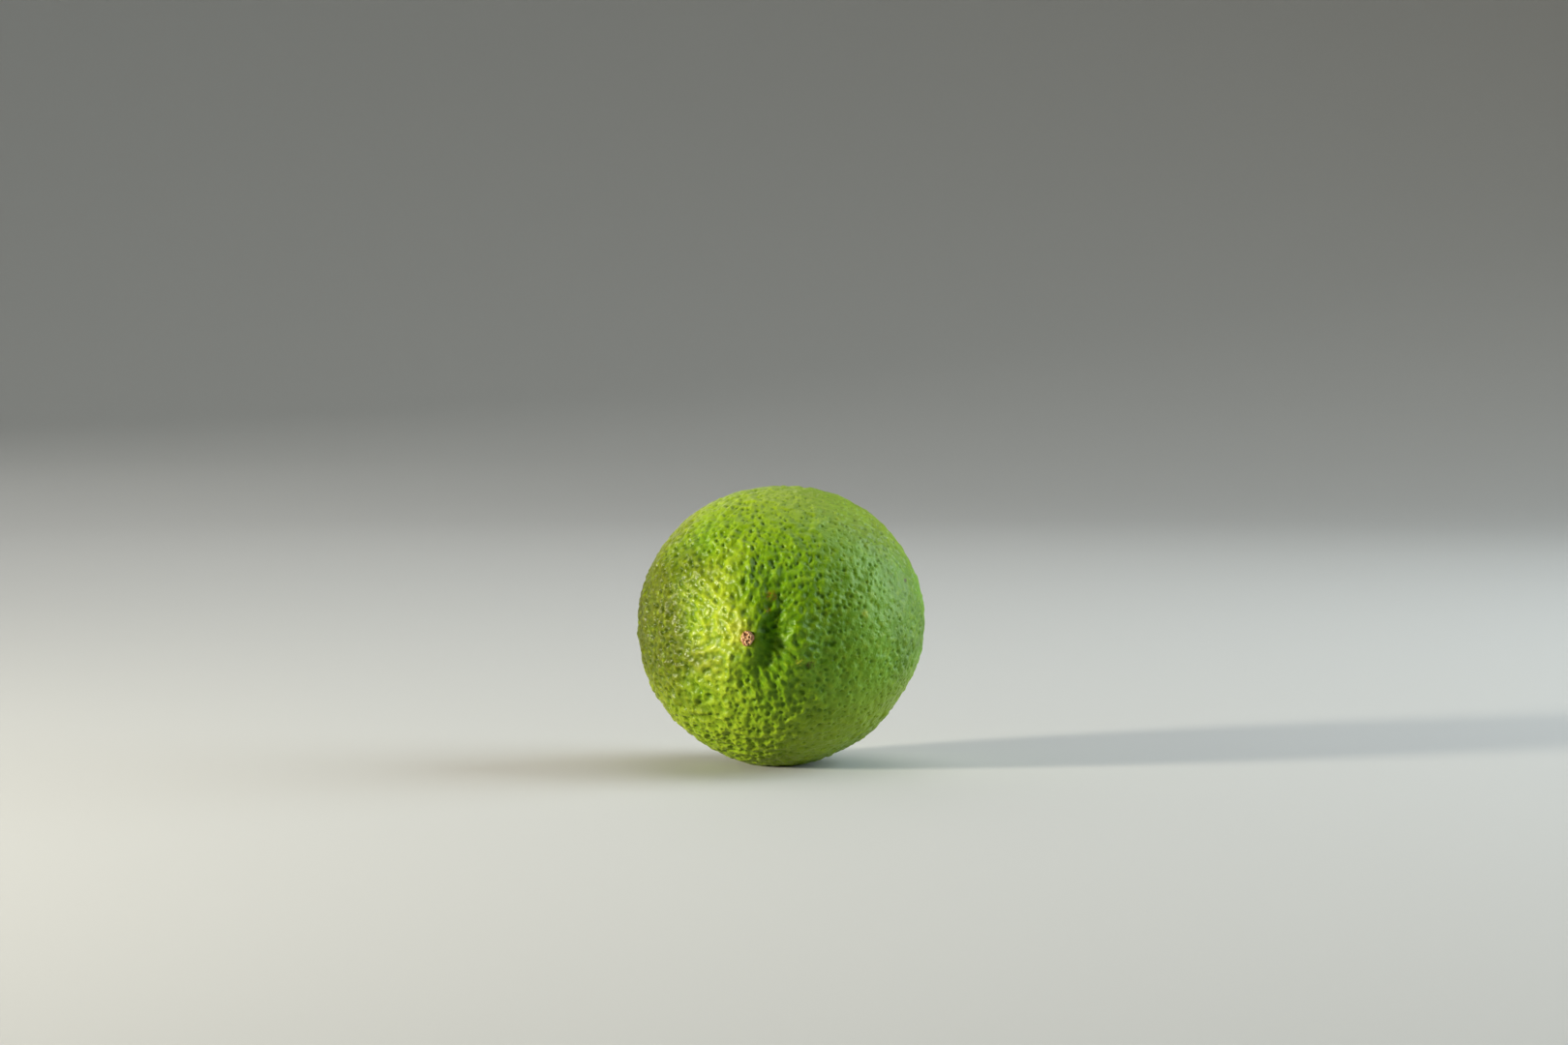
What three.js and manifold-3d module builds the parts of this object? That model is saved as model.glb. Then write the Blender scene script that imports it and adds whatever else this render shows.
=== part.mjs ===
// A whole Persian lime lying on its side.
// Millimetres, +Z up. The blossom end points to -Y and the stem end to +Y.
// The origin is under the middle of the lime, on the surface it rests on.
import * as THREE from 'three';
import { mergeVertices } from 'three/addons/utils/BufferGeometryUtils.js';
import Module from 'manifold-3d';

const wasm = await Module();
wasm.setup();

// The fruit's body, before its tip, its crease and its soft spots are added.
const fruitWidth = 55.7;
const fruitHeight = 55.0;
const fruitLength = 56.8;

// Grid of the skin: segments round the axis, rings from tip to stem.
const skinSegments = 72;
const skinRings = 44;
const ringCrowding = 0.22; // how much closer the rings lie at the two ends

// The nipple at the blossom end, and the low shoulder beside it.
const nippleHeight = 3.0;
const nippleReach = 8.0;
const shoulder = { height: 1.1, right: 9.0, up: -0.6, width: 3.4, length: 7.0 };

// The crease that runs past the nipple on its right, and hooks in under it below the bend.
const crease = { depth: 1.6, right: 4.7, lean: 0.05, width: 2.7, middle: 1.0, length: 8.5 };
const creaseHook = { bend: 1.0, curl: 0.09 };

// The stem end: a low collar, the hollow inside it, and soft ribs that run out of it.
const collar = { height: 1.0, reach: 9.0 };
const hollow = { depth: 1.7, reach: 4.4 };
const ribs = { count: 9, height: 0.22, start: 1.0, full: 4.0, end: 15.0 };

// Soft spots where the fruit grew against something: its turn round the axis, its place along it.
const softSpots = [
  { turn: -67, along: 0, depth: 0.75, reach: 10.5 },
  { turn: -36, along: 2, depth: 1.0, reach: 8.5 },
  { turn: -12, along: 2, depth: 0.55, reach: 9.0 },
  { turn: 92, along: 3, depth: 0.45, reach: 11.0 },
  { turn: 238, along: -4, depth: 0.35, reach: 9.0 },
];

// The small flat that the lime rests on.
const restDrop = 26.82; // from the fruit's centre down to the flat

// Dried style left in the tip.
const style = { width: 2.9, height: 3.4, lobes: 3, lobeDepth: 0.06, long: 1.7, sunk: 1.0, bevel: 0.3 };
const styleCorners = 32;

// Calyx button with the cut stem on it.
const calyx = { outer: 3.7, inner: 2.5, lobes: 5, thick: 0.9, bevel: 0.25 };
const calyxCorners = 50;
const calyxSeatDepth = 0.35;
const cutStem = { radius: 1.35, flare: 1.15, long: 1.9, sides: 24 };

const gap = 0.3; // between the fruit and a piece that sits in it
const cutDepth = 12; // how far a cutter reaches past the skin
const cutterSides = 32;
const mergeDistance = 1e-5;

const degrees = Math.PI / 180;
const meanRadius = (fruitWidth + fruitHeight + fruitLength) / 6;

const bump = (distance, reach) => Math.exp(-((distance / reach) ** 2));

// Three.js geometry to a solid, and back.
function toSolid(geometry) {
  const bare = geometry.clone();
  bare.deleteAttribute('normal');
  bare.deleteAttribute('uv');
  const merged = mergeVertices(bare, mergeDistance);
  return new wasm.Manifold(new wasm.Mesh({
    numProp: 3,
    vertProperties: new Float32Array(merged.attributes.position.array),
    triVerts: new Uint32Array(merged.index.array),
  }));
}

function toGeometry(solid) {
  const mesh = solid.getMesh();
  const geometry = new THREE.BufferGeometry();
  geometry.setAttribute('position', new THREE.BufferAttribute(mesh.vertProperties, 3));
  geometry.setIndex(new THREE.BufferAttribute(mesh.triVerts, 1));
  geometry.computeVertexNormals();
  return geometry;
}

// What the blossom end adds to the radius: right and up are measured along the skin from the tip.
function blossomRelief(right, up) {
  const nipple = nippleHeight * bump(Math.hypot(right, up), nippleReach);
  const hook = creaseHook.curl * Math.max(0, -up - creaseHook.bend) ** 2;
  const creaseLine = crease.right + crease.lean * up - hook;
  const creaseFade = bump(up - crease.middle, crease.length);
  const valley = crease.depth * bump(right - creaseLine, crease.width) * creaseFade;
  const across = bump(right - shoulder.right, shoulder.width);
  const rise = shoulder.height * across * bump(up - shoulder.up, shoulder.length);
  return nipple - valley + rise;
}

// What the stem end adds: distance is measured along the skin from the stem.
function stemRelief(distance, turn) {
  const ring = collar.height * bump(distance, collar.reach) - hollow.depth * bump(distance, hollow.reach);
  const rising = THREE.MathUtils.smoothstep(distance, ribs.start, ribs.full);
  const falling = 1 - THREE.MathUtils.smoothstep(distance, ribs.full, ribs.end);
  return ring + ribs.height * Math.cos(ribs.count * turn) * rising * falling;
}

// How much the soft spots take off in one direction from the centre.
function softening(direction) {
  let taken = 0;
  for (const spot of softSpots) {
    const turn = spot.turn * degrees;
    const middle = new THREE.Vector3(Math.cos(turn), spot.along / meanRadius, Math.sin(turn));
    taken += spot.depth * bump(direction.angleTo(middle) * meanRadius, spot.reach);
  }
  return taken;
}

// A point of the skin: polar is the angle from the blossom tip, turn the angle round the axis.
function skinPoint(polar, turn) {
  const direction = new THREE.Vector3(
    Math.sin(polar) * Math.cos(turn),
    -Math.cos(polar),
    Math.sin(polar) * Math.sin(turn),
  );
  const half = new THREE.Vector3(fruitWidth / 2, fruitLength / 2, fruitHeight / 2);
  const body = 1 / direction.clone().divide(half).length();
  const fromTip = polar * meanRadius;
  const fromStem = (Math.PI - polar) * meanRadius;
  const relief = blossomRelief(fromTip * Math.cos(turn), fromTip * Math.sin(turn));
  const radius = body + relief + stemRelief(fromStem, turn) - softening(direction);
  return direction.multiplyScalar(radius);
}

// The whole skin as one closed grid with a point at each end.
function skinGeometry() {
  const points = [skinPoint(0, 0)];
  for (let ring = 1; ring < skinRings; ring += 1) {
    const step = ring / skinRings;
    const polar = Math.PI * step - ringCrowding * Math.sin(2 * Math.PI * step);
    for (let segment = 0; segment < skinSegments; segment += 1) {
      points.push(skinPoint(polar, (2 * Math.PI * segment) / skinSegments));
    }
  }
  points.push(skinPoint(Math.PI, 0));

  const corner = (ring, segment) => 1 + (ring - 1) * skinSegments + (segment % skinSegments);
  const last = points.length - 1;
  const faces = [];
  for (let segment = 0; segment < skinSegments; segment += 1) {
    faces.push(0, corner(1, segment), corner(1, segment + 1));
    faces.push(last, corner(skinRings - 1, segment + 1), corner(skinRings - 1, segment));
    for (let ring = 1; ring < skinRings - 1; ring += 1) {
      const [a, b] = [corner(ring, segment), corner(ring, segment + 1)];
      const [c, d] = [corner(ring + 1, segment + 1), corner(ring + 1, segment)];
      faces.push(a, d, c, a, c, b);
    }
  }
  const geometry = new THREE.BufferGeometry().setFromPoints(points);
  geometry.setIndex(faces);
  return geometry;
}

// A round cutter along the axis, from one place on it to another.
function boreCutter(radius, from, to) {
  const cutter = new THREE.CylinderGeometry(radius, radius, Math.abs(to - from), cutterSides);
  cutter.translate(0, (from + to) / 2, 0);
  return toSolid(cutter);
}

// Outline with soft lobes, drawn round the origin.
function lobedOutline(halfWidth, halfHeight, lobes, lobeDepth, corners) {
  const outline = new THREE.Shape();
  for (let corner = 0; corner < corners; corner += 1) {
    const turn = (2 * Math.PI * corner) / corners;
    const reach = 1 + lobeDepth * Math.cos(lobes * turn);
    const place = [halfWidth * reach * Math.cos(turn), halfHeight * reach * Math.sin(turn)];
    if (corner === 0) outline.moveTo(...place);
    else outline.lineTo(...place);
  }
  outline.closePath();
  return outline;
}

const tipY = skinPoint(0, 0).y;
const stemY = skinPoint(Math.PI, 0).y;

// Seats: the style's in the tip, the button's in the hollow at the stem end.
const styleFloorY = tipY + style.sunk;
const buttonFloorY = stemY - calyxSeatDepth;
const styleSeatRadius = style.height / 2 * (1 + style.lobeDepth) + gap;
const buttonSeatRadius = calyx.outer + gap;

function makeFruit() {
  const ground = new THREE.BoxGeometry(2 * fruitWidth, 2 * fruitLength, cutDepth);
  ground.translate(0, 0, -restDrop - cutDepth / 2);
  const solid = toSolid(skinGeometry())
    .subtract(boreCutter(styleSeatRadius, styleFloorY, tipY - cutDepth))
    .subtract(boreCutter(buttonSeatRadius, buttonFloorY, stemY + cutDepth))
    .subtract(toSolid(ground));
  const peel = new THREE.MeshStandardMaterial({ color: 0x6a9610, roughness: 0.42, metalness: 0 });
  const mesh = new THREE.Mesh(toGeometry(solid), peel);
  mesh.name = 'fruit';
  return mesh;
}

// A squat woody plug with a lobed outline and soft edges.
function makeStyleStub() {
  const { bevel, lobes, lobeDepth } = style;
  const [halfWidth, halfHeight] = [style.width / 2 - bevel, style.height / 2 - bevel];
  const outline = lobedOutline(halfWidth, halfHeight, lobes, lobeDepth, styleCorners);
  const geometry = new THREE.ExtrudeGeometry(outline, {
    depth: style.long - 2 * bevel,
    bevelThickness: bevel,
    bevelSize: bevel,
    bevelSegments: 2,
    steps: 1,
  });
  const wood = new THREE.MeshStandardMaterial({ color: 0x8a6238, roughness: 0.85, metalness: 0 });
  const mesh = new THREE.Mesh(geometry, wood);
  mesh.name = 'style_stub';
  mesh.rotation.x = Math.PI / 2;
  mesh.position.y = styleFloorY - gap - bevel;
  return mesh;
}

// A five-pointed calyx with the cut stem standing on it, as one piece.
function makeCalyxButton() {
  const middle = (calyx.outer + calyx.inner) / 2 - calyx.bevel;
  const lobeDepth = (calyx.outer - calyx.inner) / (calyx.outer + calyx.inner);
  const star = new THREE.ExtrudeGeometry(lobedOutline(middle, middle, calyx.lobes, lobeDepth, calyxCorners), {
    depth: calyx.thick - 2 * calyx.bevel,
    bevelThickness: calyx.bevel,
    bevelSize: calyx.bevel,
    bevelSegments: 2,
    steps: 1,
  });
  star.translate(0, 0, calyx.bevel);
  const { radius, flare, long, sides } = cutStem;
  const stalk = new THREE.CylinderGeometry(radius, radius * flare, long, sides);
  stalk.rotateX(Math.PI / 2);
  stalk.translate(0, 0, calyx.thick / 2 + long / 2);
  const button = new THREE.MeshStandardMaterial({ color: 0x7d8a52, roughness: 0.8, metalness: 0 });
  const mesh = new THREE.Mesh(toGeometry(toSolid(star).add(toSolid(stalk))), button);
  mesh.name = 'calyx_button';
  mesh.rotation.x = -Math.PI / 2;
  mesh.position.y = buttonFloorY + gap;
  return mesh;
}

const lime = new THREE.Group();
lime.add(makeFruit(), makeStyleStub(), makeCalyxButton());

// Bring the origin under the middle of the whole lime, on the surface it rests on.
lime.updateMatrixWorld(true);
const box = new THREE.Box3().setFromObject(lime, true);
const middle = box.getCenter(new THREE.Vector3());
lime.position.set(-middle.x, -middle.y, -box.min.z);

export default lime;
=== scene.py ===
import math

import bpy
import numpy as np
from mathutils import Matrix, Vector, kdtree


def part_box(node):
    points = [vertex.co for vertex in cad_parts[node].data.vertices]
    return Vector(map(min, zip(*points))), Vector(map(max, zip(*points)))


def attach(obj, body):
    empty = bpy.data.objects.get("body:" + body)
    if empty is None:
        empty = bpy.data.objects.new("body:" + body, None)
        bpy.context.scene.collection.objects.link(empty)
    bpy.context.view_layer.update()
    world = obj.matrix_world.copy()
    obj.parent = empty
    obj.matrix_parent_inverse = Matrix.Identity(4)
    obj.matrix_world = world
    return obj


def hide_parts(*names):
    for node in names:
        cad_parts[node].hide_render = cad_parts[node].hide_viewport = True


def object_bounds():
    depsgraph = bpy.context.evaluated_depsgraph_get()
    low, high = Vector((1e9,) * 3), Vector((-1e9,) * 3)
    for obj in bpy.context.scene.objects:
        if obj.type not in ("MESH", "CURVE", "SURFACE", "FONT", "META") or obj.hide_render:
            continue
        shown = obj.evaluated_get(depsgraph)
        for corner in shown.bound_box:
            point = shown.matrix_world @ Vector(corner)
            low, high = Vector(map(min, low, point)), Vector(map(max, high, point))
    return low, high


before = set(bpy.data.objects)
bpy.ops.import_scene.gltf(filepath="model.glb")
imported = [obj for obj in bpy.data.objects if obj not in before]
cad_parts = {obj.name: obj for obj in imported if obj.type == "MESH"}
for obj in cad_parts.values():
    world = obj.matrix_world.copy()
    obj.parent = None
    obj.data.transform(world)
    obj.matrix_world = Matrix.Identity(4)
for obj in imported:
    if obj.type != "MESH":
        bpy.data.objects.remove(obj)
cadLow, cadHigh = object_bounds()
print("frame loaded with", ", ".join(sorted(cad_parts)))

mm = 0.001
goldenAngle = math.pi * (3 - math.sqrt(5))

camera = {
    "azimuth": 12.3,  # degrees round the lime, 0 looks along its axis at the tip
    "elevation": 4.4,
    "distance": 0.845,
    "lens": 100,
    "aimAbove": 1.356,  # degrees that the camera looks above the lime's middle
    "aimRight": 0.045,
    "aimRight": 0.045,
    "clip": (0.01, 20),  # metres, nearest and farthest that it sees
}


def directionTo(azimuth, elevation):
    a, e = math.radians(azimuth), math.radians(elevation)
    return Vector((math.sin(a) * math.cos(e), -math.cos(a) * math.cos(e), math.sin(e)))


def makeCamera():
    middle = (cadLow + cadHigh) / 2
    back = directionTo(camera["azimuth"], camera["elevation"])
    aim = directionTo(camera["azimuth"] + 180 - camera["aimRight"], camera["aimAbove"] - camera["elevation"])
    lens = bpy.data.cameras.new("camera")
    lens.lens = camera["lens"]
    lens.clip_start, lens.clip_end = camera["clip"]
    holder = bpy.data.objects.new("camera", lens)
    holder.location = middle + back * camera["distance"]
    holder.rotation_mode = "QUATERNION"
    holder.rotation_quaternion = aim.to_track_quat("-Z", "Y")
    bpy.context.scene.collection.objects.link(holder)
    bpy.context.scene.camera = holder


makeCamera()
print("camera placed")


def bump(distance, reach):
    return np.exp(-((distance / reach) ** 2))


def smoothStep(value, low, high):
    t = np.clip((value - low) / (high - low), 0, 1)
    return t * t * (3 - 2 * t)


def waveNoise(points, wavelength, seed, waves=40):
    # soft waves in random directions, added up: uneven bumps of about one size, 1 high
    random = np.random.default_rng(seed)
    heading = random.normal(size=(waves, points.shape[1]))
    heading /= np.linalg.norm(heading, axis=1)[:, None]
    pitch = 2 * np.pi / wavelength * random.uniform(0.7, 1.35, waves)
    phase = random.uniform(0, 2 * np.pi, waves)
    total = np.zeros(len(points))
    for way, rate, start in zip(heading, pitch, phase):
        total += np.cos(points @ way * rate + start)
    return total * math.sqrt(2 / waves)


def layerNoise(points, layer):
    return waveNoise(points, layer["wavelength"], layer["seed"])


def meshFrom(name, points, faces, mapping=None):
    mesh = bpy.data.meshes.new(name)
    mesh.from_pydata(points.tolist(), [], faces)
    mesh.polygons.foreach_set("use_smooth", np.ones(len(faces), bool))
    if mapping is not None:
        layer = mesh.uv_layers.new(name="OFBake")
        layer.data.foreach_set("uv", mapping.reshape(-1).astype(np.float32))
    mesh.update()
    piece = bpy.data.objects.new(name, mesh)
    bpy.context.scene.collection.objects.link(piece)
    return piece


def paintValue(piece, name, values):
    layer = piece.data.attributes.new(name, "FLOAT", "POINT")
    layer.data.foreach_set("value", np.asarray(values, np.float32))


peel = {
    # the body in millimetres, as the part was drawn
    "width": 55.7, "length": 56.8, "height": 55.0,
    "nippleHeight": 3.0, "nippleReach": 8.0,
    "shoulder": {"height": 1.1, "right": 9.0, "up": -0.6, "width": 3.4, "length": 7.0},
    "crease": {"depth": 1.6, "right": 4.7, "lean": 0.05, "width": 2.7, "middle": 1.0, "length": 8.5},
    "creaseHook": {"bend": 1.0, "curl": 0.09},  # below the bend the crease hooks in under the nipple
    "creaseShade": {"left": 1.0, "width": 2.1, "length": 0.9},  # its dark side; length is a share of its own
    "collarHeight": 1.0, "collarReach": 9.0,
    "hollowDepth": 1.7, "hollowReach": 4.4,
    "ribs": {"count": 9, "height": 0.22, "start": 1.0, "full": 4.0, "end": 15.0},
    "softSpots": [
        {"turn": -67, "along": 0, "depth": 0.75, "reach": 10.5},
        {"turn": -36, "along": 2, "depth": 1.0, "reach": 8.5},
        {"turn": -12, "along": 2, "depth": 0.55, "reach": 9.0},
        {"turn": 92, "along": 3, "depth": 0.45, "reach": 11.0},
        {"turn": 238, "along": -4, "depth": 0.35, "reach": 9.0},
    ],
    "styleSunk": 0.7,  # the part's style stub ends this far inside the tip
    "gridSteps": 208,
    "tileMargin": 0.012,  # left free round each tile of the map, as a share of it
    # how coarse the skin is: in patches, and most round the tip and to its left
    "coarse": {"level": 0.26, "patches": 0.12, "wavelength": 17.0, "seed": 5,
               "side": (-0.34, -0.92, -0.08), "rise": 0.8, "between": (0.30, 0.88)},
    "smoothSpot": {"right": 7.5, "up": 0.5, "reach": 6.0, "tall": 1.5, "depth": 0.25},  # beyond the crease
    # the skin's relief; a pair is its value where the skin is fine and where it is coarse
    "swell": {"wavelength": 16.0, "height": 0.05, "seed": 1},
    "lumps": {"wavelength": 4.0, "height": (0.045, 0.095), "seed": 2},
    "cobbles": {"wavelength": 2.1, "height": (0.045, 0.12), "seed": 3},
    # near the tip the cobbles run towards it, elsewhere they lie any way
    "drawnCobbles": {"wavelength": 2.1, "seed": 6, "scale": 1.75, "offset": 2.0, "power": 0.25,
                     "fade": (9, 20)},
    "beads": {"wavelength": 1.15, "height": (0.012, 0.034), "seed": 9},
    "wrinkles": {"count": 17, "height": 0.06, "wavelength": 1.0, "seed": 4, "along": 0.3,
                 "start": (1.08, 3.24), "end": (3.6, 8.0)},
    "tipSeat": {"depth": 0.3, "reach": 2.1},  # the skin is drawn in round the dry style
    # small furrows, and ridges where the depth is negative, as right and up from the tip
    "folds": [
        {"from": (4.6, -1.3), "to": (8.6, -3.8), "depth": 0.35, "width": 0.8},
        {"from": (-1.8, 17.0), "to": (-0.5, 11.5), "depth": -0.32, "width": 0.9},
        {"from": (-0.6, -5.5), "to": (1.4, -13.5), "depth": -0.28, "width": 0.8},
        {"from": (-5.2, 8.0), "to": (-3.4, 4.6), "depth": -0.22, "width": 0.7},
        {"from": (-4.6, -9.5), "to": (-2.6, -4.5), "depth": -0.22, "width": 0.7},
        {"from": (5.4, 18.0), "to": (4.8, 10.0), "depth": 0.10, "width": 1.2},
    ],
    "foldWobble": {"wavelength": 4.0, "width": 0.45, "seed": 7},
    "glands": {"count": 4300, "radius": (0.37, 0.68), "depth": (0.19, 0.33), "jitter": 0.45, "seed": 11},
    "dimples": {"count": 4200, "radius": (0.29, 0.42), "depth": (0.08, 0.16), "jitter": 0.5, "seed": 13},
    "pores": {"count": 9500, "radius": (0.26, 0.36), "depth": (0.012, 0.035), "jitter": 0.5, "seed": 12},
    "jitterShare": 0.6,
    # how much single dimples differ, how round they are pressed, and how far they are drawn out near the tip
    "spread": {"radius": (0.75, 1.25), "depth": (0.45, 1.35), "stretch": (0.3, 1.3)},
    "roundness": 1.7,
    "stretch": {"most": 0.8, "fade": (5, 22)},
    "calmStem": (2.5, 6), "calmTip": (1.4, 2.8),  # between these the dimples fade in
    # what the finish is told about the skin
    "deepest": 0.26,  # dimples of this depth get their full tone
    "ridgeScale": 0.3,
    # the patch left of the tip where a pale highlight is painted into the colour, where the warm key lamp's
    # highlight falls
    "litPatch": {"right": -6.5, "up": -1.0, "width": 7.5, "height": 18.0,
               "uneven": 0.12, "wavelength": 12.0, "seed": 8},
    # aside lays out the painted sheen and shade across the sides
    "aside": {"bend": 0.012, "bendEnd": 25, "uneven": 2.5, "wavelength": 13.0, "seed": 10},
}

fruitLow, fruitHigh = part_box("fruit")
styleLow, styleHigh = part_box("style_stub")
_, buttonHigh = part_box("calyx_button")
meanRadius = (peel["width"] + peel["height"] + peel["length"]) / 6


def creaseLine(up):
    # how far right of the tip the crease runs, at each height
    crease, hook = peel["crease"], peel["creaseHook"]
    return crease["right"] + crease["lean"] * up - hook["curl"] * np.maximum(0, -up - hook["bend"]) ** 2


def blossomRelief(right, up):
    # nipple, crease and shoulder at the tip; right and up are millimetres along the skin
    crease, shoulder = peel["crease"], peel["shoulder"]
    nipple = peel["nippleHeight"] * bump(np.hypot(right, up), peel["nippleReach"])
    fade = bump(up - crease["middle"], crease["length"])
    valley = crease["depth"] * bump(right - creaseLine(up), crease["width"]) * fade
    rise = shoulder["height"] * bump(right - shoulder["right"], shoulder["width"])
    return nipple - valley + rise * bump(up - shoulder["up"], shoulder["length"])


def shadowInCrease(right, up):
    # 1 along the crease's side next to the nipple, where shade is painted into the colour
    crease, shade = peel["crease"], peel["creaseShade"]
    across = bump(right - creaseLine(up) + shade["left"], shade["width"])
    return across * bump(up - crease["middle"], crease["length"] * shade["length"])


def stemRelief(distance, turn):
    ring = peel["collarHeight"] * bump(distance, peel["collarReach"])
    ring = ring - peel["hollowDepth"] * bump(distance, peel["hollowReach"])
    ribs = peel["ribs"]
    rising = smoothStep(distance, ribs["start"], ribs["full"])
    falling = 1 - smoothStep(distance, ribs["full"], ribs["end"])
    return ring + ribs["height"] * np.cos(ribs["count"] * turn) * (rising * falling)


def skinPlaces(direction):
    # the turn round the axis, then millimetres along the skin from the tip and from the stem
    polar = np.arccos(np.clip(-direction[:, 1], -1, 1))
    turn = np.arctan2(direction[:, 2], direction[:, 0])
    return turn, polar * meanRadius, (np.pi - polar) * meanRadius


def skinRadius(direction):
    half = np.array([peel["width"], peel["length"], peel["height"]]) / 2
    turn, fromTip, fromStem = skinPlaces(direction)
    radius = 1 / np.linalg.norm(direction / half, axis=1)
    radius += blossomRelief(fromTip * np.cos(turn), fromTip * np.sin(turn)) + stemRelief(fromStem, turn)
    for spot in peel["softSpots"]:
        around = math.radians(spot["turn"])
        middle = np.array([math.cos(around), spot["along"] / meanRadius, math.sin(around)])
        angle = np.arccos(np.clip(direction @ (middle / np.linalg.norm(middle)), -1, 1))
        radius -= spot["depth"] * bump(angle * meanRadius, spot["reach"])
    return radius


def fruitMiddle():
    # where the part's body has its middle, in millimetres
    tip = skinRadius(np.array([[0.0, -1.0, 0.0]]))[0]
    across = (fruitLow.x + fruitHigh.x) / 2 / mm
    return np.array([across, styleHigh.y / mm - peel["styleSunk"] + tip, (styleLow.z + styleHigh.z) / 2 / mm])


def ballGrid(steps):
    # a cube's grid blown up to a ball: even cells, no poles; each side has its own tile in the map
    line = np.arange(steps + 1) / steps
    bend = np.tan((line * 2 - 1) * math.pi / 4)
    u, v = np.meshgrid(bend, bend, indexing="ij")
    sides = []
    for axis in range(3):
        for sign in (1, -1):
            cube = np.empty((steps + 1, steps + 1, 3))
            cube[..., axis] = sign
            cube[..., (axis + 1) % 3] = u * sign
            cube[..., (axis + 2) % 3] = v
            sides.append(cube.reshape(-1, 3))
    points = np.concatenate(sides)
    points /= np.linalg.norm(points, axis=1)[:, None]
    mergeScale = 1e5  # points of two sides that meet are one
    keys = np.round(points * mergeScale).astype(np.int64)
    _, first, back = np.unique(keys, axis=0, return_index=True, return_inverse=True)
    back = back.reshape(-1)
    i, j = np.meshgrid(np.arange(steps), np.arange(steps), indexing="ij")
    corner = (i * (steps + 1) + j).reshape(-1)
    cell = np.stack([corner, corner + steps + 1, corner + steps + 2, corner + 1], axis=1)
    quads = np.concatenate([cell + side * (steps + 1) ** 2 for side in range(6)])
    margin = peel["tileMargin"]
    tileLine = margin + (1 - 2 * margin) * line
    tileU, tileV = np.meshgrid(tileLine, tileLine, indexing="ij")
    tiles = []
    for side in range(6):
        tile = np.stack([(tileU + side % 3) / 3, (tileV + side // 3) / 2], axis=-1)
        tiles.append(tile.reshape(-1, 2))
    return points[first], back[quads], np.concatenate(tiles)[quads]


def scatterOnBall(count, jitter, random):
    # a golden spiral of points, each nudged aside
    index = np.arange(count) + 0.5
    height = 1 - 2 * index / count
    around = index * goldenAngle
    flat = np.sqrt(1 - height ** 2)
    points = np.stack([flat * np.cos(around), flat * np.sin(around), height], axis=1)
    spacing = math.sqrt(4 * math.pi / count)
    points += random.normal(size=points.shape) * jitter * spacing * peel["jitterShare"]
    return points / np.linalg.norm(points, axis=1)[:, None]


def facing(direction, side):
    side = np.array(side)
    return direction @ (side / np.linalg.norm(side))


def coarseness(direction):
    # 0 where the skin is fine, 1 where it is coarse
    look, spot = peel["coarse"], peel["smoothSpot"]
    patchy = look["level"] + look["patches"] * layerNoise(direction * meanRadius, look)
    coarse = patchy + look["rise"] * smoothStep(facing(direction, look["side"]), *look["between"])
    turn, fromTip, _ = skinPlaces(direction)
    right, up = fromTip * np.cos(turn), fromTip * np.sin(turn)
    away = np.hypot(right - spot["right"], (up - spot["up"]) / spot["tall"])
    coarse -= spot["depth"] * bump(away, spot["reach"])
    return np.clip(coarse, 0, 1)


def pressDimples(direction, tree, kind):
    # how deep each skin point lies in the dimples, in millimetres; near the tip they are drawn out
    random = np.random.default_rng(kind["seed"])
    count, spread, drawn = kind["count"], peel["spread"], peel["stretch"]
    places = scatterOnBall(count, kind["jitter"], random)
    coarse = coarseness(places)
    radii = np.interp(coarse, (0, 1), kind["radius"]) * random.uniform(*spread["radius"], count)
    depths = np.interp(coarse, (0, 1), kind["depth"]) * random.uniform(*spread["depth"], count)
    _, fromTip, _ = skinPlaces(places)
    nearTip = 1 - smoothStep(fromTip, *drawn["fade"])
    stretch = 1 + drawn["most"] * nearTip * random.uniform(*spread["stretch"], count)
    tiny = 1e-9  # keeps the division safe at the tip
    depth = np.zeros(len(direction))
    for place, radius, deep, long in zip(places, radii, depths, stretch):
        near = [found[1] for found in tree.find_range(place, radius * long / meanRadius)]
        if not near:
            continue
        offset = (direction[near] - place) * meanRadius
        along = np.array([0.0, 1.0, 0.0]) - place * place[1]
        along /= np.linalg.norm(along) + tiny
        run = offset @ along
        square = (run / (radius * long)) ** 2 + ((offset ** 2).sum(1) - run ** 2) / radius ** 2
        depth[near] = np.maximum(depth[near], deep * np.clip(1 - square, 0, 1) ** peel["roundness"])
    return depth


def foldRelief(right, up):
    wobble = peel["foldWobble"]
    spot = np.stack([right, up], axis=1)
    spot = spot + wobble["width"] * layerNoise(spot, wobble)[:, None]
    relief = np.zeros(len(right))
    for fold in peel["folds"]:
        start, end = np.array(fold["from"]), np.array(fold["to"])
        run = end - start
        share = np.clip((spot - start) @ run / (run @ run), 0, 1)
        away = np.linalg.norm(spot - start - share[:, None] * run, axis=1)
        relief -= fold["depth"] * bump(away, fold["width"])
    return relief


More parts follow.
